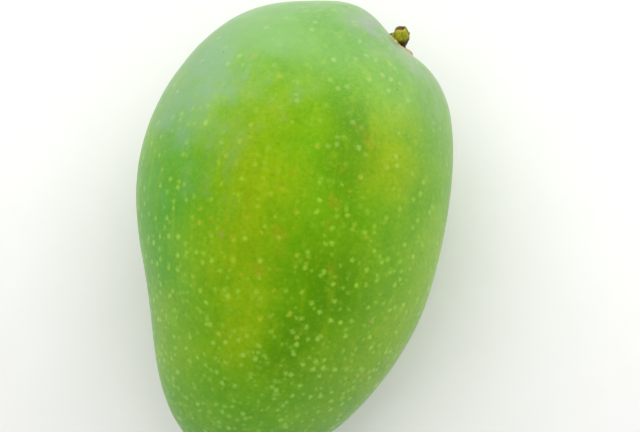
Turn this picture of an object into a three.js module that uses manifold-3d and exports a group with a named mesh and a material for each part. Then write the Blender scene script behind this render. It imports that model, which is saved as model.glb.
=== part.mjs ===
// A green mango as picked, with the stub of its stem, lying on its broad cheek.
// Millimetres, +Z up. The fruit's long axis runs along Y with the stem end at +Y, its thickness along Z.
// The origin is the middle of the surface that the fruit lies on, below the centre of its bounding box.
import * as THREE from 'three';
import { mergeVertices } from 'three/addons/utils/BufferGeometryUtils.js';
import Module from 'manifold-3d';

const wasm = await Module();
wasm.setup();

// Size of the plain egg that the fruit starts from
const HALF_WIDTH = 41.3;
const HALF_LENGTH = 63.3;
const HALF_THICKNESS = 36.5;
// The egg is this share wider and thicker at the stem end, and as much slimmer at the tip
const EGG_TAPER = 0.15;
// Both ends of its axis lean this far towards the beaked side, -X
const AXIS_BEND = 3.4;

// What makes the egg a mango: swellings (positive height) and dips (negative) of its rim.
// The angle goes round the fruit's rim from +X towards the stem end, in degrees.
const RIM_FEATURES = [
  { name: 'back shoulder', angle: 41, spread: 14, height: 4.6 },
  { name: 'crown beside the stem', angle: 75, spread: 8.5, height: 2.8 },
  { name: 'slope of the front shoulder', angle: 130, spread: 18, height: -0.9 },
  { name: 'belly', angle: 167, spread: 17, height: 1.2 },
  { name: 'sinus above the beak', angle: 204, spread: 16, height: -3.6 },
  { name: 'haunch', angle: 331, spread: 15, height: 1.4 },
];
// A rim feature reaches about twice as far across the rim as along it
const RIM_FEATURE_ACROSS = 0.55;

// The small round hollow that the stem grows from, a little aside of the rim towards +Z
const STEM_ANGLE = 58.8;
const STEM_ASIDE = 3;
const HOLLOW_SPREAD = 6.5;
const HOLLOW_DEPTH = 1;

// A mango on its cheek balances with its tip a little low
const REST_PITCH = THREE.MathUtils.degToRad(3.5);
// Depth of the flat spot that it lies on
const FLAT_SPOT_DEPTH = 0.5;

// The fruit's facets: an icosahedron with each edge split this often
const SKIN_SPLITS = 17;

// Stem stub: a short goblet-shaped knob that starts below the skin, leaves it as far as its knee, and
// turns to point along the fruit, at an angle measured as those round the rim are, and aside of it
const STUB_LENGTH = 4.9;
const STUB_ROOT = 1.2;
const STUB_KNEE = 0.9;
const STUB_TURN = 99;
const STUB_ASIDE = 27;
const STUB_SIDES = 20;
const STUB_RINGS = 14;
// Its radius, and how far up it that radius is as a share, from the root to inside the rim of its cut end
const STUB_PROFILE = [
  [1.6, 0.0],
  [1.5, 0.2],
  [1.6, 0.36],
  [2.0, 0.54],
  [2.2, 0.7],
  [2.05, 0.83],
  [1.7, 0.94],
  [1.45, 1.0],
  [1.15, 0.99],
  [0.95, 0.93],
];
// The cut end is dished to this share of the stub's length
const STUB_DISH = 0.9;
// Torn bract on the stub's front foot: a rounded scrap with half sizes along X, Y and Z
const SCRAP_SPLITS = 3;
const BRACT = { angle: 62, aside: 3.5, lift: 0.5, size: [1.35, 0.9, 0.9] };
// Clear space between the stub and the skin
const GAP = 0.3;

// Unit vector at an angle round the rim, and turned aside of it towards +Z
function rimDirection(degrees, aside = 0) {
  const angle = THREE.MathUtils.degToRad(degrees);
  const rise = THREE.MathUtils.degToRad(aside);
  const level = Math.cos(rise);
  return new THREE.Vector3(level * Math.cos(angle), level * Math.sin(angle), Math.sin(rise));
}

// How much of a feature is felt where two unit vectors have this cosine
function swell(cosine, spread) {
  return Math.exp((cosine - 1) / THREE.MathUtils.degToRad(spread) ** 2);
}

// Point of the skin in a direction from the fruit's middle, raised by lift
function skinPoint(direction, lift = 0) {
  const up = direction.y;
  const taper = 1 + EGG_TAPER * up;
  const point = new THREE.Vector3(
    HALF_WIDTH * direction.x * taper - AXIS_BEND * up * up,
    HALF_LENGTH * up,
    HALF_THICKNESS * direction.z * taper,
  );
  const across = new THREE.Vector3(direction.x, up, RIM_FEATURE_ACROSS * direction.z).normalize();
  let raise = lift;
  for (const { angle, spread, height } of RIM_FEATURES) {
    raise += height * swell(across.dot(rimDirection(angle)), spread);
  }
  raise -= HOLLOW_DEPTH * swell(direction.dot(rimDirection(STEM_ANGLE, STEM_ASIDE)), HOLLOW_SPREAD);
  return point.multiplyScalar(1 + raise / point.length());
}

// Closed ball of facets whose corners a function moves
function ball(splits, place) {
  const geometry = new THREE.IcosahedronGeometry(1, splits);
  geometry.deleteAttribute('normal');
  geometry.deleteAttribute('uv');
  const merged = mergeVertices(geometry, 1e-5);
  const corners = merged.getAttribute('position');
  const corner = new THREE.Vector3();
  for (let i = 0; i < corners.count; i += 1) {
    corner.fromBufferAttribute(corners, i).normalize();
    corners.setXYZ(i, ...place(corner).toArray());
  }
  return merged;
}

function toSolid(geometry) {
  return new wasm.Manifold(new wasm.Mesh({
    numProp: 3,
    vertProperties: new Float32Array(geometry.getAttribute('position').array),
    triVerts: new Uint32Array(geometry.index.array),
  }));
}

function toGeometry(solid) {
  const mesh = solid.getMesh();
  const geometry = new THREE.BufferGeometry();
  geometry.setAttribute('position', new THREE.BufferAttribute(mesh.vertProperties, 3));
  geometry.setIndex(new THREE.BufferAttribute(mesh.triVerts, 1));
  geometry.computeVertexNormals();
  return geometry;
}

// Stem stub: rings of the profile round a curve that leaves the skin and turns along the fruit
function stubBody() {
  const foot = skinPoint(rimDirection(STEM_ANGLE, STEM_ASIDE));
  const outward = foot.clone().normalize();
  const upward = rimDirection(STUB_TURN, STUB_ASIDE);
  const start = foot.clone().addScaledVector(outward, -STUB_ROOT);
  const knee = foot.clone().addScaledVector(outward, STUB_KNEE);
  const top = foot.clone().addScaledVector(upward, STUB_LENGTH);
  const axis = new THREE.QuadraticBezierCurve3(start, knee, top);
  const profilePoints = STUB_PROFILE.map(([radius, at]) => new THREE.Vector3(radius, at, 0));
  const profile = new THREE.CatmullRomCurve3(profilePoints);
  const zAxis = new THREE.Vector3(0, 0, 1);

  const positions = [];
  const indices = [];
  for (let ring = 0; ring <= STUB_RINGS; ring += 1) {
    const { x: radius, y: at } = profile.getPoint(ring / STUB_RINGS);
    const share = THREE.MathUtils.clamp(at, 0, 1);
    const middle = axis.getPoint(share);
    const heading = axis.getTangent(share);
    const side = new THREE.Vector3().crossVectors(heading, zAxis).normalize();
    const across = new THREE.Vector3().crossVectors(side, heading);
    for (let step = 0; step < STUB_SIDES; step += 1) {
      const turn = (2 * Math.PI * step) / STUB_SIDES;
      const corner = middle.clone();
      corner.addScaledVector(side, radius * Math.cos(turn));
      corner.addScaledVector(across, radius * Math.sin(turn));
      positions.push(...corner.toArray());
    }
  }
  const bottomCentre = positions.length / 3;
  positions.push(...start.toArray());
  positions.push(...axis.getPoint(STUB_DISH).toArray());
  for (let step = 0; step < STUB_SIDES; step += 1) {
    const next = (step + 1) % STUB_SIDES;
    for (let ring = 0; ring < STUB_RINGS; ring += 1) {
      const low = ring * STUB_SIDES;
      const high = low + STUB_SIDES;
      indices.push(low + step, high + next, low + next, low + step, high + step, high + next);
    }
    const last = STUB_RINGS * STUB_SIDES;
    indices.push(bottomCentre, step, next, bottomCentre + 1, last + next, last + step);
  }
  const geometry = new THREE.BufferGeometry();
  geometry.setAttribute('position', new THREE.Float32BufferAttribute(positions, 3));
  geometry.setIndex(indices);
  return toSolid(geometry);
}

// Small rounded scrap that sits on the skin at an angle round the rim and aside of it
function scrap({ angle, aside, lift, size }) {
  const middle = skinPoint(rimDirection(angle, aside), lift);
  const halfSize = new THREE.Vector3(...size);
  return toSolid(ball(SCRAP_SPLITS, (corner) => corner.clone().multiply(halfSize).add(middle)));
}

const wholeFruit = toSolid(ball(SKIN_SPLITS, (direction) => skinPoint(direction)));
const clearance = toSolid(ball(SKIN_SPLITS, (direction) => skinPoint(direction, GAP)));
const wholeStub = stubBody().add(scrap(BRACT)).subtract(clearance);

// Both lie as the fruit balances, sunk by the depth of the flat spot. The fruit reaches further than
// the stub on every side, so its box is the whole mango's.
const fruitGeometry = toGeometry(wholeFruit).rotateX(REST_PITCH);
const stubGeometry = toGeometry(wholeStub).rotateX(REST_PITCH);
const box = new THREE.Box3().setFromBufferAttribute(fruitGeometry.getAttribute('position'));
const centre = box.getCenter(new THREE.Vector3());
for (const geometry of [fruitGeometry, stubGeometry]) {
  geometry.translate(-centre.x, -centre.y, -box.min.z - FLAT_SPOT_DEPTH);
}

// What would be below the surface is cut away, which leaves the flat spot
const ground = new THREE.BoxGeometry(4 * HALF_WIDTH, 4 * HALF_LENGTH, 2 * HALF_THICKNESS);
ground.deleteAttribute('normal');
ground.deleteAttribute('uv');
const groundSolid = toSolid(mergeVertices(ground.translate(0, 0, -HALF_THICKNESS)));
const restingFruit = toGeometry(toSolid(fruitGeometry).subtract(groundSolid));

const skinMaterial = new THREE.MeshStandardMaterial({ color: '#7fab3c', roughness: 0.42, metalness: 0 });
const stubMaterial = new THREE.MeshStandardMaterial({ color: '#8a8524', roughness: 0.7, metalness: 0 });

const mangoFruit = new THREE.Mesh(restingFruit, skinMaterial);
mangoFruit.name = 'mango_fruit';

const stemStub = new THREE.Mesh(stubGeometry, stubMaterial);
stemStub.name = 'stem_stub';

const mango = new THREE.Group();
mango.add(mangoFruit, stemStub);

export default mango;
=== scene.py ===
# A green mango as picked, lying on its broad cheek on a pale surface and seen from above.
# The frame is in metres, +Z up, with the stem end at +Y. The fruit's own shape is worked out in
# millimetres from its middle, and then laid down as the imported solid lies.
import math

import bmesh
import bpy
import numpy as np
from mathutils import Matrix, Vector


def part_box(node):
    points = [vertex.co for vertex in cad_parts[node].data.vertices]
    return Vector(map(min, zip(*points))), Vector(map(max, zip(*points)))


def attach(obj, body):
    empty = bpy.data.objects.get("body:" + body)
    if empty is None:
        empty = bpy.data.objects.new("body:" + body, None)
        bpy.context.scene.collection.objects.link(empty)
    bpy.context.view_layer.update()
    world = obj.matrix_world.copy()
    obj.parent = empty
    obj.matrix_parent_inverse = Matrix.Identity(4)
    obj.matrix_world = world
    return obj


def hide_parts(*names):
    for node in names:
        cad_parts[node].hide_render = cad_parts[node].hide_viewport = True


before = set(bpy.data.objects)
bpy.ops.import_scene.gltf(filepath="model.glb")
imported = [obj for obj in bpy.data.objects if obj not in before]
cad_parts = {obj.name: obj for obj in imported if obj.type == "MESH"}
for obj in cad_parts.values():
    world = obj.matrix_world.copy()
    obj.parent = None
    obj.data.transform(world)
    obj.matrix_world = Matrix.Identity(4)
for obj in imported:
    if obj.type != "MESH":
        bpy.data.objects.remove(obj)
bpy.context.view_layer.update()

MM = 0.001

# The plain egg that the fruit starts from, in millimetres
HALF_WIDTH = 41.3
HALF_LENGTH = 63.3
HALF_THICKNESS = 36.5
EGG_TAPER = 0.15
AXIS_BEND = 3.4

# Swellings and dips of its rim: angle round the rim from +X towards the stem end and spread, in
# degrees, and height in millimetres
RIM_FEATURES = {
    "back shoulder": (41, 14, 4.6),
    "crown beside the stem": (75, 8.5, 2.8),
    "slope of the front shoulder": (130, 18, -0.9),
    "belly": (167, 17, 1.2),
    "sinus above the beak": (204, 16, -3.6),
    "haunch": (331, 15, 1.4),
}
RIM_FEATURE_ACROSS = 0.55

# The hollow that the stem grows from, a little aside of the rim towards +Z
STEM_ANGLE = 58.8
STEM_ASIDE = 3
HOLLOW_SPREAD = 6.5
HOLLOW_DEPTH = 1.0

# How the fruit lies
REST_PITCH = math.radians(3.5)
FLAT_SPOT_DEPTH = 0.5

# Fineness of the skin's mesh: faces along each edge of the cube that it is blown up from, and cuts
# made in the faces within an angle of the stem, in degrees, one zone after the other
SKIN_FACES = 96
STEM_ZONES = [(15, 1), (8, 3)]

# Slow and quick unevenness of the skin, as wavelength and height in millimetres
SKIN_WAVES = [(34, 0.22), (13, 0.06), (5, 0.018)]
WAVES_IN_A_SUM = 14
# Roughness of the stub's bark, in the same way. The furrows are drawn out along the stub.
BARK_FURROWS = (0.9, 0.05)
FURROW_STRETCH = 4
BARK_GRAIN = (0.5, 0.03)
BARK_LUMPS = (2.2, 0.07)

# Corky collar on the skin round the stub: an outer lip, blisters inside it and a groove at the stub
LIP_RADIUS = 3.6
LIP_WIDTH = 0.48
LIP_HEIGHT = 0.65
BLISTER_RADIUS = 2.7
BLISTER_WIDTH = 0.45
BLISTER_HEIGHT = 0.42
GROOVE_RADIUS = 1.9
GROOVE_WIDTH = 0.3
GROOVE_DEPTH = 0.3
# How its rings wander from round, as wavelength and millimetres, and how the lip and the blisters come
# and go round the stub, as wavelength and share of their height
COLLAR_WANDER = (3.5, 0.25)
LIP_BREAKS = (3.0, 0.4)
BLISTER_BREAKS = (1.1, 0.6)

# Stem stub: a goblet-shaped knob that starts below the skin, leaves it as far as its knee, and turns
# to point along the fruit
STUB_LENGTH = 4.9
STUB_ROOT = 1.2
STUB_KNEE = 0.9
STUB_TURN = 99
STUB_ASIDE = 27
STUB_SIDES = 72
# Its radius, and how far up it that radius is as a share, from the root to the floor of its cut end
STUB_PROFILE = [
    (1.60, 0.00), (1.52, 0.15), (1.46, 0.24), (1.58, 0.34), (1.80, 0.44), (2.02, 0.54), (2.14, 0.62),
    (2.18, 0.70), (2.12, 0.77), (1.98, 0.84), (1.76, 0.91), (1.62, 0.96), (1.50, 0.995), (1.34, 1.005),
    (1.18, 0.985), (1.02, 0.94), (0.60, 0.915), (0.02, 0.91),
]
# Lobes of its section: how many, how deep as a share of the radius, and where they start
STUB_LOBES = [(3, 0.045, 0.4), (5, 0.03, 2.0), (11, 0.012, 1.0)]
# Torn bract on its front foot: angle round the rim and aside of it, height above the skin, half sizes
BRACT = {"angle": 62, "aside": 3.5, "lift": 0.5, "size": (1.35, 0.9, 0.9)}
# Scar of a fallen leaf on the knob: how far up it, how far from its axis, half sizes
SCAR = {"share": 0.8, "out": 2.05, "size": (0.5, 0.38, 0.4)}
SCRAP_FACES = 8
# The mesh in which knob, bract and scar grow together: size of its faces, and rounds of smoothing
STUB_VOXEL = 0.085
STUB_SMOOTHING = 2

# The camera: long lens, nearly straight down, turned so that the fruit leans to the right, and a
# little to the fruit's stem side
LENS = 135
SENSOR_WIDTH = 36
PICTURE_WIDTH = 640
MM_PER_PIXEL = 0.27
CAMERA_ELEVATION = math.radians(85)
CAMERA_AZIMUTH = math.radians(10)
CAMERA_LEAN = math.radians(5)
# Where the fruit's middle shows, in pixels from the picture's centre
FRUIT_LEFT_OF_CENTRE = 34.0
FRUIT_BELOW_CENTRE = 19.5


def srgb(code):
    """Linear colour of a hexadecimal screen colour."""
    parts = [int(code[i:i + 2], 16) / 255 for i in (1, 3, 5)]
    return tuple(p / 12.92 if p <= 0.04045 else ((p + 0.055) / 1.055) ** 2.4 for p in parts)


# Shape of the fruit

def rim_direction(degrees, aside=0.0):
    """Unit vector at an angle round the rim, and turned aside of it towards +Z."""
    angle, rise = math.radians(degrees), math.radians(aside)
    level = math.cos(rise)
    return np.array([level * math.cos(angle), level * math.sin(angle), math.sin(rise)])


def unit(vectors):
    return vectors / np.linalg.norm(vectors, axis=-1, keepdims=True)


def swell(cosine, spread):
    return np.exp((cosine - 1) / math.radians(spread) ** 2)


STEM_DIRECTION = rim_direction(STEM_ANGLE, STEM_ASIDE)


def skin_points(directions, lift=0.0):
    """Points of the smooth skin in these directions from the fruit's middle, in millimetres."""
    up = directions[:, 1]
    taper = 1 + EGG_TAPER * up
    points = np.stack([
        HALF_WIDTH * directions[:, 0] * taper - AXIS_BEND * up * up,
        HALF_LENGTH * up,
        HALF_THICKNESS * directions[:, 2] * taper,
    ], axis=1)
    across = unit(directions * np.array([1, 1, RIM_FEATURE_ACROSS]))
    raise_by = np.zeros(len(directions)) + lift
    for angle, spread, height in RIM_FEATURES.values():
        raise_by += height * swell(across @ rim_direction(angle), spread)
    raise_by -= HOLLOW_DEPTH * swell(directions @ STEM_DIRECTION, HOLLOW_SPREAD)
    return points * (1 + raise_by / np.linalg.norm(points, axis=1))[:, None]


STUB_FOOT = skin_points(STEM_DIRECTION[None])[0]
STUB_OUTWARD = unit(STUB_FOOT)
STUB_TOP = STUB_FOOT + STUB_LENGTH * rim_direction(STUB_TURN, STUB_ASIDE)
STUB_HEADING = unit(STUB_TOP - STUB_FOOT - STUB_KNEE * STUB_OUTWARD)


def waves(points, wavelength, seed):
    """Smooth unevenness, mostly between -1 and 1: a sum of plane waves in random directions."""
    draw = np.random.default_rng(seed)
    headings = unit(draw.normal(size=(WAVES_IN_A_SUM, 3)))
    phases = draw.uniform(0, 2 * math.pi, WAVES_IN_A_SUM)
    stretch = draw.uniform(0.7, 1.3, WAVES_IN_A_SUM)
    turns = points @ (headings * (2 * math.pi / wavelength * stretch)[:, None]).T + phases
    return np.cos(turns).sum(axis=1) * math.sqrt(2 / WAVES_IN_A_SUM) / 2


def unevenness(points, wavelength_and_height, seed):
    """Waves of a wavelength and height, given as a pair. Most of them stay within that height."""
    wavelength, height = wavelength_and_height
    return height * waves(points, wavelength, seed)


def collar_relief(points):
    """Height of the corky collar and of the groove inside it, at these points of the skin."""
    away = np.linalg.norm(points - STUB_FOOT, axis=1) + unevenness(points, COLLAR_WANDER, seed=13)
    broken = 0.7 + unevenness(points, LIP_BREAKS, seed=11)
    crumbs = 0.5 + unevenness(points, BLISTER_BREAKS, seed=12)
    lip = LIP_HEIGHT * np.exp(-((away - LIP_RADIUS) / LIP_WIDTH) ** 2) * broken
    blisters = BLISTER_HEIGHT * np.exp(-((away - BLISTER_RADIUS) / BLISTER_WIDTH) ** 2) * crumbs
    groove = GROOVE_DEPTH * np.exp(-((away - GROOVE_RADIUS) / GROOVE_WIDTH) ** 2)
    return lip + blisters - groove


def ball_directions(faces):
    """Corners and faces of a cube's grid blown up to a ball, with the cube's edges joined."""
    steps = np.tan(np.linspace(-math.pi / 4, math.pi / 4, faces + 1))
    u, v = np.meshgrid(steps, steps, indexing="ij")
    corners, quads = [], []
    index = np.arange((faces + 1) ** 2).reshape(faces + 1, faces + 1)
    quad = np.stack([index[:-1, :-1], index[1:, :-1], index[1:, 1:], index[:-1, 1:]], axis=-1)
    quad = quad.reshape(-1, 4)
    for axis in range(3):
        for side in (-1, 1):
            square = np.empty(u.shape + (3,))
            square[..., axis] = side
            square[..., (axis + 1) % 3] = u * side
            square[..., (axis + 2) % 3] = v
            quads.append(quad + len(corners) * index.size)
            corners.append(square.reshape(-1, 3))
    corners = unit(np.concatenate(corners))
    _, first, joined = np.unique(np.round(corners, 6), axis=0, return_index=True, return_inverse=True)
    return corners[first], joined.reshape(-1)[np.concatenate(quads)]


def build_mesh(name, points, faces):
    mesh = bpy.data.meshes.new(name)
    mesh.from_pydata([tuple(p) for p in points], [], [tuple(f) for f in faces])
    mesh.update()
    return mesh


def corners_of(mesh):
    flat = np.empty(len(mesh.vertices) * 3)
    mesh.vertices.foreach_get("co", flat)
    return flat.reshape(-1, 3)


def move_corners(mesh, points):
    mesh.vertices.foreach_set("co", np.ascontiguousarray(points, dtype=float).ravel())
    mesh.update()


def add_piece(name, mesh):
    """Scene object of a finished mesh, smooth shaded."""
    mesh.polygons.foreach_set("use_smooth", [True] * len(mesh.polygons))
    piece = bpy.data.objects.new(name, mesh)
    bpy.context.scene.collection.objects.link(piece)
    return piece


def laying_down(points):
    """Turn and shift that lay points worked out from the fruit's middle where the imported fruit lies."""
    cosine, sine = math.cos(REST_PITCH), math.sin(REST_PITCH)
    turn = np.array([[1, 0, 0], [0, cosine, -sine], [0, sine, cosine]])
    turned = points @ turn.T
    low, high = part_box("mango_fruit")
    shift = np.array([(low.x + high.x) / 2, (low.y + high.y) / 2, 0.0]) / MM
    shift[:2] -= (turned.min(axis=0) + turned.max(axis=0))[:2] / 2
    shift[2] = -turned[:, 2].min() - FLAT_SPOT_DEPTH
    return turn, shift


def lay_down(points, lie):
    turn, shift = lie
    return (points @ turn.T + shift) * MM


def make_fruit():
    """Skin of the whole fruit, fine all over and finer round the stem. Returns it and how it lies."""
    mesh = build_mesh("mango_fruit_skin", *ball_directions(SKIN_FACES))
    work = bmesh.new()
    work.from_mesh(mesh)
    stem = Vector(STEM_DIRECTION)
    for reach, cuts in STEM_ZONES:
        near = [f for f in work.faces if f.calc_center_median().angle(stem) < math.radians(reach)]
        edges = list({e for f in near for e in f.edges})
        bmesh.ops.subdivide_edges(work, edges=edges, cuts=cuts, use_grid_fill=True)
    bmesh.ops.recalc_face_normals(work, faces=work.faces)
    work.to_mesh(mesh)
    work.free()

    directions = unit(corners_of(mesh))
    points = skin_points(directions)
    lie = laying_down(points)
    relief = collar_relief(points)
    for number, wave in enumerate(SKIN_WAVES):
        relief += unevenness(points, wave, seed=number)
    points = points + directions * relief[:, None]
    placed = lay_down(points, lie)
    placed[:, 2] = np.maximum(placed[:, 2], 0.0)
    move_corners(mesh, placed)
    return add_piece("mango_fruit_skin", mesh), lie


def stub_axis(share):
    """Point of the stub's bent axis at a share of its length, and two unit vectors across it there."""
    start = STUB_FOOT - STUB_ROOT * STUB_OUTWARD
    knee = STUB_FOOT + STUB_KNEE * STUB_OUTWARD
    point = (1 - share) ** 2 * start + 2 * share * (1 - share) * knee + share ** 2 * STUB_TOP
    heading = unit((1 - share) * (knee - start) + share * (STUB_TOP - knee))
    side = unit(np.cross(heading, [0, 0, 1]))
    return point, side, np.cross(side, heading)


def stub_shell():
    """Corners and faces of the knob, a lobed section that follows the bent axis."""
    turns = np.linspace(0, 2 * math.pi, STUB_SIDES, endpoint=False)
    lobes = 1 + sum(depth * np.cos(count * turns + phase) for count, depth, phase in STUB_LOBES)
    rings = []
    for radius, share in STUB_PROFILE:
        point, side, across = stub_axis(share)
        reach = (radius * lobes)[:, None]
        rings.append(point + reach * (np.cos(turns)[:, None] * side + np.sin(turns)[:, None] * across))
    corners = list(np.concatenate(rings))
    faces = []
    for ring in range(len(rings) - 1):
        for step in range(STUB_SIDES):
            after = (step + 1) % STUB_SIDES
            low, high = ring * STUB_SIDES, (ring + 1) * STUB_SIDES
            faces.append((low + step, high + step, high + after, low + after))
    faces.append(tuple(range(STUB_SIDES)))
    faces.append(tuple(reversed(range((len(rings) - 1) * STUB_SIDES, len(rings) * STUB_SIDES))))
    return corners, faces


def scrap_shell(middle, size):
    """Corners and faces of a rounded scrap of bark."""
    directions, faces = ball_directions(SCRAP_FACES)
    return list(directions * np.array(size) + middle), [tuple(f) for f in faces]


def make_stub(lie):
    """The stub with its bract and leaf scar, grown together into one skin and roughened."""
    bract_at = skin_points(rim_direction(BRACT["angle"], BRACT["aside"])[None], BRACT["lift"])[0]
    scar_from, scar_side, _ = stub_axis(SCAR["share"])
    scar_at = scar_from + SCAR["out"] * scar_side
    corners, faces = [], []
    bract, scar = scrap_shell(bract_at, BRACT["size"]), scrap_shell(scar_at, SCAR["size"])
    for shell_corners, shell_faces in (stub_shell(), bract, scar):
        faces += [tuple(i + len(corners) for i in face) for face in shell_faces]
        corners += shell_corners
    rough = bpy.data.objects.new("stub_shells", build_mesh("stub_shells", corners, faces))
    bpy.context.scene.collection.objects.link(rough)
    fuse = rough.modifiers.new("grown_together", "REMESH")
    fuse.mode = "VOXEL"
    fuse.voxel_size = STUB_VOXEL
    fused = rough.evaluated_get(bpy.context.evaluated_depsgraph_get())
    grown = bpy.data.meshes.new_from_object(fused)
    bpy.data.objects.remove(rough)

    work = bmesh.new()
    work.from_mesh(grown)
    for _ in range(STUB_SMOOTHING):
        bmesh.ops.smooth_vert(work, verts=work.verts, factor=0.5,
                              use_axis_x=True, use_axis_y=True, use_axis_z=True)
    work.normal_update()
    normals = np.array([v.normal for v in work.verts])
    work.to_mesh(grown)
    work.free()

    points = corners_of(grown)
    along = (points - STUB_FOOT) @ STUB_HEADING
    flattened = points - (1 - 1 / FURROW_STRETCH) * along[:, None] * STUB_HEADING
    relief = unevenness(flattened, BARK_FURROWS, seed=21) + unevenness(points, BARK_GRAIN, seed=22)
    relief += unevenness(points, BARK_LUMPS, seed=23)
    move_corners(grown, lay_down(points + normals * relief[:, None], lie))
    grown.name = "stem_stub_knob"
    return add_piece("stem_stub_knob", grown)


# Building of materials

def put(tree, kind, inputs=None, **settings):
    """Adds a node, sets it up, and links or sets its inputs, named or numbered."""
    node = tree.nodes.new(kind)
    for name, value in settings.items():
        setattr(node, name, value)
    for key, value in (inputs or {}).items():
        if isinstance(value, bpy.types.NodeSocket):
            tree.links.new(value, node.inputs[key])
        else:
            node.inputs[key].default_value = value
    return node


def maths(tree, operation, first, second=0.0):
    return put(tree, "ShaderNodeMath", {0: first, 1: second}, operation=operation).outputs[0]


def times(tree, first, second):
    return maths(tree, "MULTIPLY", first, second)


def plus(tree, first, second):
    return maths(tree, "ADD", first, second)


def swing(tree, value, factor):
    """How far a cloudy value is from 0.5, times a factor."""
    return times(tree, maths(tree, "SUBTRACT", value, 0.5), factor)


def vector_maths(tree, operation, first, second):
    node = put(tree, "ShaderNodeVectorMath", {0: first, 1: second}, operation=operation)
    return node.outputs["Value" if operation in ("DISTANCE", "DOT_PRODUCT") else "Vector"]


def blend(tree, factor, first, second):
    """Colour that goes from first to second as the factor goes from 0 to 1."""
    first = first if isinstance(first, bpy.types.NodeSocket) else (*first, 1)
    second = second if isinstance(second, bpy.types.NodeSocket) else (*second, 1)
    node = put(tree, "ShaderNodeMix", {0: factor, 6: first, 7: second}, data_type="RGBA")
    return node.outputs[2]


def cover(tree, colour, mask, code):
    """Colour with a screen colour laid over it where the mask, from 0 to 1, is up."""
    return blend(tree, mask, colour, srgb(code))


def rise(tree, value, low, high, top=1.0):
    """0 below low, top above high and smooth between them. It falls if low is the larger one."""
    node = put(tree, "ShaderNodeMapRange",
               {"Value": value, "From Min": low, "From Max": high, "To Max": top},
               interpolation_type="SMOOTHSTEP")
    return node.outputs[0]


def patches(tree, place, size, detail=2.0, roughness=0.5):
    """Cloudy value round 0.5 whose clouds are about this many millimetres across."""
    node = put(tree, "ShaderNodeTexNoise",
               {"Vector": place, "Scale": 1 / size, "Detail": detail, "Roughness": roughness})
    return node.outputs[0]


def stretched(tree, place, scale):
    return put(tree, "ShaderNodeMapping", {"Vector": place, "Scale": scale}).outputs[0]


def new_group(name, inputs, outputs):
    """Empty node group with named inputs (with their values) and outputs, and its two end nodes."""
    tree = bpy.data.node_groups.new(name, "ShaderNodeTree")
    for label, kind, value in inputs:
        socket = tree.interface.new_socket(label, in_out="INPUT", socket_type=kind)
        if value is not None:
            socket.default_value = value
    for label, kind in outputs:
        tree.interface.new_socket(label, in_out="OUTPUT", socket_type=kind)
    return tree, tree.nodes.new("NodeGroupInput"), tree.nodes.new("NodeGroupOutput")


def use_group(tree, group, inputs=None):
    return put(tree, "ShaderNodeGroup", inputs, node_tree=group)


def make_place_group(lie):
    """Where a point is on the fruit, in millimetres from its middle: x across, y to the stem, z through."""
    tree, _, end = new_group(
        "place_on_fruit", [],
        [("Place", "NodeSocketVector"), ("From Stem", "NodeSocketFloat"),
         ("Up The Stub", "NodeSocketFloat"), ("Off Its Axis", "NodeSocketFloat")])
    where = put(tree, "ShaderNodeTexCoord").outputs["Object"]
    scaled = put(tree, "ShaderNodeVectorMath", {0: where, "Scale": 1 / MM}, operation="SCALE").outputs[0]
    centred = vector_maths(tree, "SUBTRACT", scaled, tuple(lie[1]))
    turned = put(tree, "ShaderNodeVectorRotate",
                 {"Vector": centred, "Axis": (1, 0, 0), "Angle": -REST_PITCH},
                 rotation_type="AXIS_ANGLE").outputs[0]
    from_top = vector_maths(tree, "SUBTRACT", turned, tuple(STUB_TOP))
    from_axis = vector_maths(tree, "CROSS_PRODUCT", from_top, tuple(STUB_HEADING))
    up = plus(tree, vector_maths(tree, "DOT_PRODUCT", from_top, tuple(STUB_HEADING)), STUB_LENGTH)
    tree.links.new(turned, end.inputs["Place"])
    tree.links.new(vector_maths(tree, "DISTANCE", turned, tuple(STUB_FOOT)), end.inputs["From Stem"])
    tree.links.new(up, end.inputs["Up The Stub"])
    tree.links.new(vector_maths(tree, "DISTANCE", from_axis, (0, 0, 0)), end.inputs["Off Its Axis"])
    return tree


def make_dots_group():
    """Scattered soft dots, not quite round, and a random lot from 0 to 1 for each.

    Cell, in millimetres, is about how far apart they are, and Share the part of the cells that hold one.
    """
    tree, start, end = new_group(
        "scattered_dots",
        [("Place", "NodeSocketVector", None), ("Cell", "NodeSocketFloat", 3.0),
         ("Radius", "NodeSocketFloat", 0.5), ("Share", "NodeSocketFloat", 1.0),
         ("Softness", "NodeSocketFloat", 0.6)],
        [("Dots", "NodeSocketFloat"), ("Lot", "NodeSocketFloat")])
    inside = start.outputs
    scale = maths(tree, "DIVIDE", 1.0, inside["Cell"])
    noise = put(tree, "ShaderNodeTexNoise", {"Vector": inside["Place"], "Scale": 1.1, "Detail": 2.0})
    wobble = vector_maths(tree, "SUBTRACT", noise.outputs["Color"], (0.5, 0.5, 0.5))
    bent = vector_maths(tree, "ADD", inside["Place"], wobble)
    cells = put(tree, "ShaderNodeTexVoronoi", {"Vector": bent, "Scale": scale, "Randomness": 1.0})
    away = times(tree, cells.outputs["Distance"], inside["Cell"])
    draw = put(tree, "ShaderNodeSeparateColor", {0: cells.outputs["Color"]})
    soft_from = times(tree, inside["Radius"], maths(tree, "SUBTRACT", 1.0, inside["Softness"]))
    dot = rise(tree, away, inside["Radius"], soft_from)
    held = rise(tree, maths(tree, "SUBTRACT", inside["Share"], draw.outputs[0]), -0.05, 0.05)
    strength = plus(tree, 0.55, times(tree, draw.outputs[1], 0.45))
    tree.links.new(times(tree, times(tree, dot, held), strength), end.inputs["Dots"])
    tree.links.new(draw.outputs[2], end.inputs["Lot"])
    return tree


def new_material(name):
    material = bpy.data.materials.new(name)
    material.use_nodes = True
    return material, material.node_tree, material.node_tree.nodes["Principled BSDF"]


def link(tree, value, shader, socket):
    tree.links.new(value, shader.inputs[socket])


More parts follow.
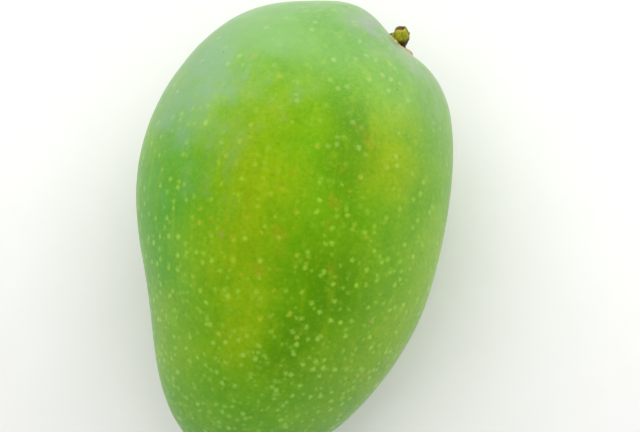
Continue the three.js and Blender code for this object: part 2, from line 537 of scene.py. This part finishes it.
def set_constants(shader, **values):
    for name, value in values.items():
        shader.inputs[name.replace("_", " ")].default_value = value


def relief_normal(tree, height, depth_mm):
    """Normal of a surface raised by a height, where a height of 1 is this deep."""
    bump = put(tree, "ShaderNodeBump", {"Height": height, "Strength": 1.0, "Distance": depth_mm * MM})
    return bump.outputs[0]


# Broad colours of the skin, one over the other: middle and reach of a soft ball round a place of the
# fruit in millimetres, strength, and colour
BROAD_COLOURS = {
    "ripening middle of the cheek": ((-9, 10, 32), (19, 38, 30), 0.85, "#8aa808"),
    "green front flank": ((-32, 2, 18), (24, 38, 44), 0.95, "#4f9f05"),
    "ripening streak by the back": ((25, 25, 24), (11, 19, 24), 0.8, "#92ae02"),
    "dark band down the cheek": ((17, -10, 30), (15, 30, 24), 0.85, "#528b00"),
    "dark patch below the shoulder": ((15, 29, 30), (10, 17, 24), 0.85, "#538a00"),
    "dark patch towards the tip": ((9, -31, 24), (11, 15, 22), 0.85, "#4f8b02"),
    "ripening patch towards the tip": ((-4, -23, 30), (9, 15, 24), 0.75, "#8cb20a"),
}
# Shifts in millimetres that make one texture give different dots and clouds
LARGE_DOTS_AT = (31.7, 12.3, 5.9)
FINE_DOTS_AT = (7.1, 3.7, 61.0)
SCABS_AT = (-17.1, 44.9, 23.3)
WARM_CLOUDS_AT = (51.0, 3.0, 27.0)
# Millimetres that a height of 1 stands for in the finest relief of the skin and of the bark
SKIN_BUMP = 0.09
BARK_BUMP = 0.12


def make_skin_material(place_group, dots_group):
    material, tree, shader = new_material("mango_skin")
    spot = use_group(tree, place_group)
    place, from_stem = spot.outputs["Place"], spot.outputs["From Stem"]
    _, along, through = put(tree, "ShaderNodeSeparateXYZ", {0: place}).outputs
    streaks = patches(tree, stretched(tree, place, (1, 0.16, 1)), 3.2, detail=3)
    veil = patches(tree, place, 10, detail=5, roughness=0.65)
    wander = swing(tree, patches(tree, place, 13, detail=3), 1.3)
    brushed = plus(tree, swing(tree, veil, 1.2), swing(tree, streaks, 0.8))
    ragged = plus(tree, wander, brushed)

    def shifted(shift):
        return vector_maths(tree, "ADD", place, shift)

    def zone(middle, reach, strength, edge=wander):
        """Up to the strength at a place of the fruit, and 0 outside a soft ball stretched to this reach."""
        offset = vector_maths(tree, "SUBTRACT", place, middle)
        shrunk = vector_maths(tree, "DIVIDE", offset, reach)
        away = plus(tree, vector_maths(tree, "DISTANCE", shrunk, (0, 0, 0)), edge)
        return rise(tree, away, 1.15, 0.1, strength)

    # Broad colours: green all over, ripening to yellow green in streaks along the cheek
    cloud = patches(tree, place, 24, detail=3)
    colour = blend(tree, rise(tree, cloud, 0.38, 0.64), srgb("#6ca508"), srgb("#7eaf0a"))
    for middle, reach, strength, code in BROAD_COLOURS.values():
        colour = cover(tree, colour, zone(middle, reach, strength), code)
    colour = cover(tree, colour, rise(tree, along, 26, 58, 0.8), "#559430")
    colour = cover(tree, colour, rise(tree, along, -28, -60, 0.7), "#62ac22")

    # Mottling, faint brown clouds where it ripens, streaks along the fruit, and grain
    mottle = patches(tree, place, 6.5, detail=4, roughness=0.6)
    colour = cover(tree, colour, rise(tree, mottle, 0.46, 0.72, 0.3), "#549402")
    colour = cover(tree, colour, rise(tree, mottle, 0.47, 0.24, 0.3), "#9cc01c")
    warm = patches(tree, shifted(WARM_CLOUDS_AT), 5.0, detail=3)
    ripe = times(tree, rise(tree, warm, 0.58, 0.74), zone((2, 14, 32), (34, 44, 30), 0.5))
    colour = cover(tree, colour, ripe, "#a0951a")
    colour = cover(tree, colour, rise(tree, streaks, 0.54, 0.72, 0.2), "#a3bd12")
    colour = cover(tree, colour, rise(tree, streaks, 0.44, 0.28, 0.22), "#549406")
    grain = patches(tree, place, 1.1, detail=3, roughness=0.6)
    colour = cover(tree, colour, rise(tree, grain, 0.5, 0.75, 0.32), "#4a8406")
    colour = cover(tree, colour, rise(tree, grain, 0.48, 0.25, 0.22), "#a6c23c")

    # Wax bloom and painted sheen: brushed sage over the shoulders, and greyer in a broken veil by the stem,
    # each partly real bloom and partly painted reflection of the bright surroundings
    shoulders = times(tree, rise(tree, along, 14, 46), rise(tree, through, 27, 10))
    cloudy = plus(tree, 0.65, times(tree, brushed, 1.3))
    # Painted sheen: sage over the shoulders towards the rim, partly real wax bloom
    colour = cover(tree, colour, times(tree, times(tree, shoulders, cloudy), 0.65), "#8bab7c")
    # Painted reflection: pale sage veils on the upper left shoulder and the upper middle, partly real bloom
    colour = cover(tree, colour, zone((-27, 52, 12), (28, 46, 48), 0.8, ragged), "#78a466")
    colour = cover(tree, colour, zone((-25, 33, 24), (13, 17, 26), 0.5, ragged), "#7da680")
    colour = cover(tree, colour, zone((-4, 49, 24), (20, 12, 24), 0.5), "#80ad60")
    # Painted sheen: grey veil by the stem and a grey patch on the crown, partly real bloom
    bloom_and_sheen = times(tree, rise(tree, from_stem, 24, 5), rise(tree, veil, 0.34, 0.58))
    colour = cover(tree, colour, times(tree, bloom_and_sheen, 0.5), "#9ba193")
    crown = times(tree, zone((17.5, 59, 5), (13, 8, 22), 0.85, ragged), rise(tree, veil, 0.3, 0.55))
    colour = cover(tree, colour, crown, "#8e978e")

    # Lenticels: few and faint on the shoulders, close together towards the tip
    crowd = rise(tree, along, 46, -30)
    small = use_group(tree, dots_group, {
        "Place": place, "Cell": 2.5, "Radius": 1.08, "Softness": 0.8,
        "Share": plus(tree, 0.22, times(tree, crowd, 0.64))})
    large = use_group(tree, dots_group, {
        "Place": shifted(LARGE_DOTS_AT), "Cell": 4.4, "Radius": 1.3, "Softness": 0.9, "Share": 0.6})
    fine = use_group(tree, dots_group, {
        "Place": shifted(FINE_DOTS_AT), "Cell": 2.1, "Radius": 0.8, "Softness": 0.8,
        "Share": rise(tree, along, 0, -52, 0.75)})
    pale = blend(tree, rise(tree, along, 6, -44), srgb("#a5d33c"), srgb("#a0d354"))
    pale = cover(tree, pale, rise(tree, along, 12, 40), "#b0cd86")
    ripening = zone((0, 10, 34), (36, 50, 30), 1.0)
    tint = cover(tree, pale, times(tree, rise(tree, small.outputs["Lot"], 0.45, 0.9), ripening), "#c0b528")
    shown = times(tree, small.outputs["Dots"], plus(tree, 0.38, times(tree, crowd, 0.4)))
    colour = blend(tree, shown, colour, tint)
    colour = blend(tree, times(tree, fine.outputs["Dots"], 0.5), colour, pale)
    colour = cover(tree, colour, times(tree, large.outputs["Dots"], 0.42), "#a0c038")

    # A few scabs: tan patches and dark pinpricks
    scabs = use_group(tree, dots_group, {
        "Place": shifted(SCABS_AT), "Cell": 11.0, "Radius": 1.3, "Softness": 0.8, "Share": 0.35})
    colour = cover(tree, colour, times(tree, scabs.outputs["Dots"], 0.5), "#ab8f55")
    pricks = use_group(tree, dots_group, {
        "Place": shifted(SCABS_AT), "Cell": 6.5, "Radius": 0.42, "Softness": 0.5, "Share": 0.3})
    colour = cover(tree, colour, times(tree, pricks.outputs["Dots"], 0.75), "#574a1a")

    # Collar: a cream lip, red-brown cork inside it, and russet that runs out over the skin
    crumble = patches(tree, place, 0.8, detail=4, roughness=0.7)
    away = plus(tree, from_stem, swing(tree, crumble, 1.6))
    russet = rise(tree, away, LIP_RADIUS + 4.0, LIP_RADIUS + 0.4)
    colour = cover(tree, colour, times(tree, russet, 0.5), "#b5ae78")
    lip = rise(tree, away, LIP_RADIUS + 0.9, LIP_RADIUS + 0.2)
    worn = rise(tree, patches(tree, place, 1.5, detail=4, roughness=0.6), 0.44, 0.6)
    lip_colour = blend(tree, worn, srgb("#bcae80"), srgb("#7f6b48"))
    colour = blend(tree, times(tree, lip, 0.9), colour, lip_colour)
    cork = rise(tree, away, LIP_RADIUS - 0.1, LIP_RADIUS - 0.6)
    colour = cover(tree, colour, cork, "#6e3a1a")
    colour = cover(tree, colour, times(tree, cork, rise(tree, crumble, 0.5, 0.62)), "#a06a44")
    link(tree, colour, shader, "Base Color")

    # Sheen of the wax, duller where the patches of bloom and painted sheen and the collar are, and the fine
    # peel of the skin
    rub = patches(tree, place, 3.0, detail=3)
    dull = maths(tree, "MAXIMUM", times(tree, bloom_and_sheen, 0.3), lip)
    rough = plus(tree, plus(tree, 0.36, times(tree, rub, 0.16)), times(tree, dull, 0.35))
    link(tree, rough, shader, "Roughness")
    peel = patches(tree, place, 0.55, detail=3, roughness=0.6)
    height = plus(tree, times(tree, peel, 0.5), times(tree, small.outputs["Dots"], 0.4))
    height = maths(tree, "SUBTRACT", height, times(tree, pricks.outputs["Dots"], 0.5))
    height = plus(tree, height, times(tree, times(tree, lip, crumble), 2.4))
    link(tree, relief_normal(tree, height, SKIN_BUMP), shader, "Normal")
    set_constants(shader, IOR=1.45, Specular_IOR_Level=0.43, Sheen_Weight=0.06, Sheen_Roughness=0.4,
                  Sheen_Tint=(*srgb("#dbead2"), 1), Coat_Weight=0.1, Coat_Roughness=0.3)
    return material


def make_stub_material(place_group):
    material, tree, shader = new_material("stem_bark")
    spot = use_group(tree, place_group)
    place, up, off_axis = (spot.outputs[name] for name in ("Place", "Up The Stub", "Off Its Axis"))
    streaks = patches(tree, stretched(tree, place, (1, 0.3, 1)), 0.5, detail=4, roughness=0.65)
    flecks = patches(tree, place, 0.7, detail=5, roughness=0.7)
    height_up = plus(tree, up, swing(tree, flecks, 1.6))
    _, _, through = put(tree, "ShaderNodeSeparateXYZ", {0: place}).outputs

    # Olive green body, dark brown at its root, partly real brown bark and partly painted shade where it
    # meets the skin, bract and leaf scar a duller olive
    colour = blend(tree, rise(tree, streaks, 0.35, 0.7), srgb("#747d0c"), srgb("#b0ae2a"))
    colour = cover(tree, colour, rise(tree, flecks, 0.54, 0.7, 0.75), "#5c4a10")
    colour = cover(tree, colour, rise(tree, height_up, 2.6, 1.4, 0.95), "#472c0a")
    colour = cover(tree, colour, rise(tree, off_axis, 2.35, 2.75, 0.8), "#565219")

    # Rim of the cut end, grey brown below and yellow above, a painted highlight on the near lip, and its
    # dark floor, painted shade in the cup
    top = float(STUB_TOP[2])
    rim = blend(tree, rise(tree, through, top + 0.1, top + 0.9), srgb("#7a6d47"), srgb("#aca53c"))
    colour = blend(tree, rise(tree, height_up, 4.25, 4.6, 0.85), colour, rim)
    # Painted shade: the dark floor of the cup at the cut end
    cut = times(tree, rise(tree, up, 3.5, 3.8), rise(tree, off_axis, 1.35, 1.1))
    cut_floor_shade = blend(tree, rise(tree, flecks, 0.4, 0.6), srgb("#57451a"), srgb("#86703c"))
    colour = blend(tree, cut, colour, cut_floor_shade)
    link(tree, colour, shader, "Base Color")
    link(tree, plus(tree, 0.5, times(tree, flecks, 0.3)), shader, "Roughness")
    height = plus(tree, times(tree, streaks, 0.6), times(tree, flecks, 0.4))
    link(tree, relief_normal(tree, height, BARK_BUMP), shader, "Normal")
    set_constants(shader, IOR=1.45)
    return material


def make_floor_material():
    material, tree, shader = new_material("pale_table")
    where = put(tree, "ShaderNodeTexCoord").outputs["Object"]
    grain = put(tree, "ShaderNodeTexNoise", {"Vector": where, "Scale": 60.0, "Detail": 3.0}).outputs[0]
    link(tree, blend(tree, grain, srgb("#f2f1ef"), srgb("#f6f6f5")), shader, "Base Color")
    set_constants(shader, Roughness=0.7, Specular_IOR_Level=0.2)
    return material


# The stage

FLOOR_RADIUS = 1.0
FLOOR_SIDES = 128
# Soft boxes: place, size in metres, watts, and whether they show in the skin's gloss
LIGHTS = {
    "overhead": ((-0.03, 0.25, 1.0), (2.0, 2.0), 20.4, False),
    "window_left": ((-0.62, 0.66, 0.36), (0.9, 0.5), 2.8, True),
    "window_right": ((0.5, 0.75, 0.36), (0.8, 0.5), 3.6, True),
}
LIGHTS_AIM = (0, 0, 0.035)
# Light of the tent at its foot and above the camera, and between which heights it dims, as the sine of
# the angle above the horizon
TENT_HORIZON = 0.95
TENT_ZENITH = 0.02
TENT_DIM_FROM = 0.02
TENT_DARK_FROM = 0.45


def make_floor():
    turns = np.linspace(0, 2 * math.pi, FLOOR_SIDES, endpoint=False)
    corners = FLOOR_RADIUS * np.stack([np.cos(turns), np.sin(turns), np.zeros(FLOOR_SIDES)], axis=1)
    floor = add_piece("floor", build_mesh("floor", corners, [range(FLOOR_SIDES)]))
    floor.data.materials.append(make_floor_material())


def make_light(name, place, size, watts, in_gloss):
    """Rectangular soft box. Without in_gloss it lights the fruit but makes no highlight."""
    lamp = bpy.data.lights.new(name, "AREA")
    lamp.shape = "RECTANGLE"
    lamp.size, lamp.size_y = size
    lamp.energy = watts
    lamp.cycles.use_multiple_importance_sampling = in_gloss
    light = bpy.data.objects.new(name, lamp)
    light.location = place
    light.rotation_euler = (Vector(LIGHTS_AIM) - light.location).to_track_quat("-Z", "Y").to_euler()
    light.visible_glossy = in_gloss
    bpy.context.scene.collection.objects.link(light)


def make_world():
    """White tent, bright near the horizon and dark overhead, where the camera hangs."""
    world = bpy.data.worlds.new("studio_tent")
    world.use_nodes = True
    tree = world.node_tree
    heading = put(tree, "ShaderNodeTexCoord").outputs["Generated"]
    height = put(tree, "ShaderNodeSeparateXYZ", {0: heading}).outputs[2]
    strength = put(tree, "ShaderNodeMapRange",
                   {"Value": height, "From Min": TENT_DIM_FROM, "From Max": TENT_DARK_FROM,
                    "To Min": TENT_HORIZON, "To Max": TENT_ZENITH},
                   interpolation_type="SMOOTHSTEP").outputs[0]
    background = tree.nodes["Background"]
    background.inputs["Color"].default_value = (1, 1, 1, 1)
    tree.links.new(strength, background.inputs["Strength"])
    bpy.context.scene.world = world


def make_camera(lie):
    """Looks nearly straight down, with the fruit where the photograph has it."""
    backward = Vector((math.sin(CAMERA_AZIMUTH) * math.cos(CAMERA_ELEVATION),
                       -math.cos(CAMERA_AZIMUTH) * math.cos(CAMERA_ELEVATION), math.sin(CAMERA_ELEVATION)))
    right = Vector((math.cos(CAMERA_AZIMUTH), math.sin(CAMERA_AZIMUTH), 0))
    lean = Matrix.Rotation(CAMERA_LEAN, 3, "Y")
    backward, right = lean @ backward, lean @ right
    up = backward.cross(right)
    distance = LENS / SENSOR_WIDTH * PICTURE_WIDTH * MM_PER_PIXEL * MM
    aim_point = Vector(lie[1]) * MM
    aim_point += (right * FRUIT_LEFT_OF_CENTRE + up * FRUIT_BELOW_CENTRE) * MM_PER_PIXEL * MM
    lens = bpy.data.cameras.new("camera")
    lens.lens = LENS
    lens.sensor_width = SENSOR_WIDTH
    lens.clip_start = 0.01
    camera = bpy.data.objects.new("camera", lens)
    turn = Matrix((right, up, backward)).transposed().to_4x4()
    camera.matrix_world = Matrix.Translation(aim_point + backward * distance) @ turn
    bpy.context.scene.collection.objects.link(camera)
    bpy.context.scene.camera = camera


def dress(piece, node, material):
    piece.data.materials.clear()
    piece.data.materials.append(material)
    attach(piece, "root")
    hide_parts(node)


fruit, lie = make_fruit()
stub = make_stub(lie)
place_group = make_place_group(lie)
dots_group = make_dots_group()
dress(fruit, "mango_fruit", make_skin_material(place_group, dots_group))
dress(stub, "stem_stub", make_stub_material(place_group))

make_floor()
make_world()
for name, (place, size, watts, in_gloss) in LIGHTS.items():
    make_light(name, place, size, watts, in_gloss)
make_camera(lie)
bpy.context.scene.view_settings.view_transform = "Standard"
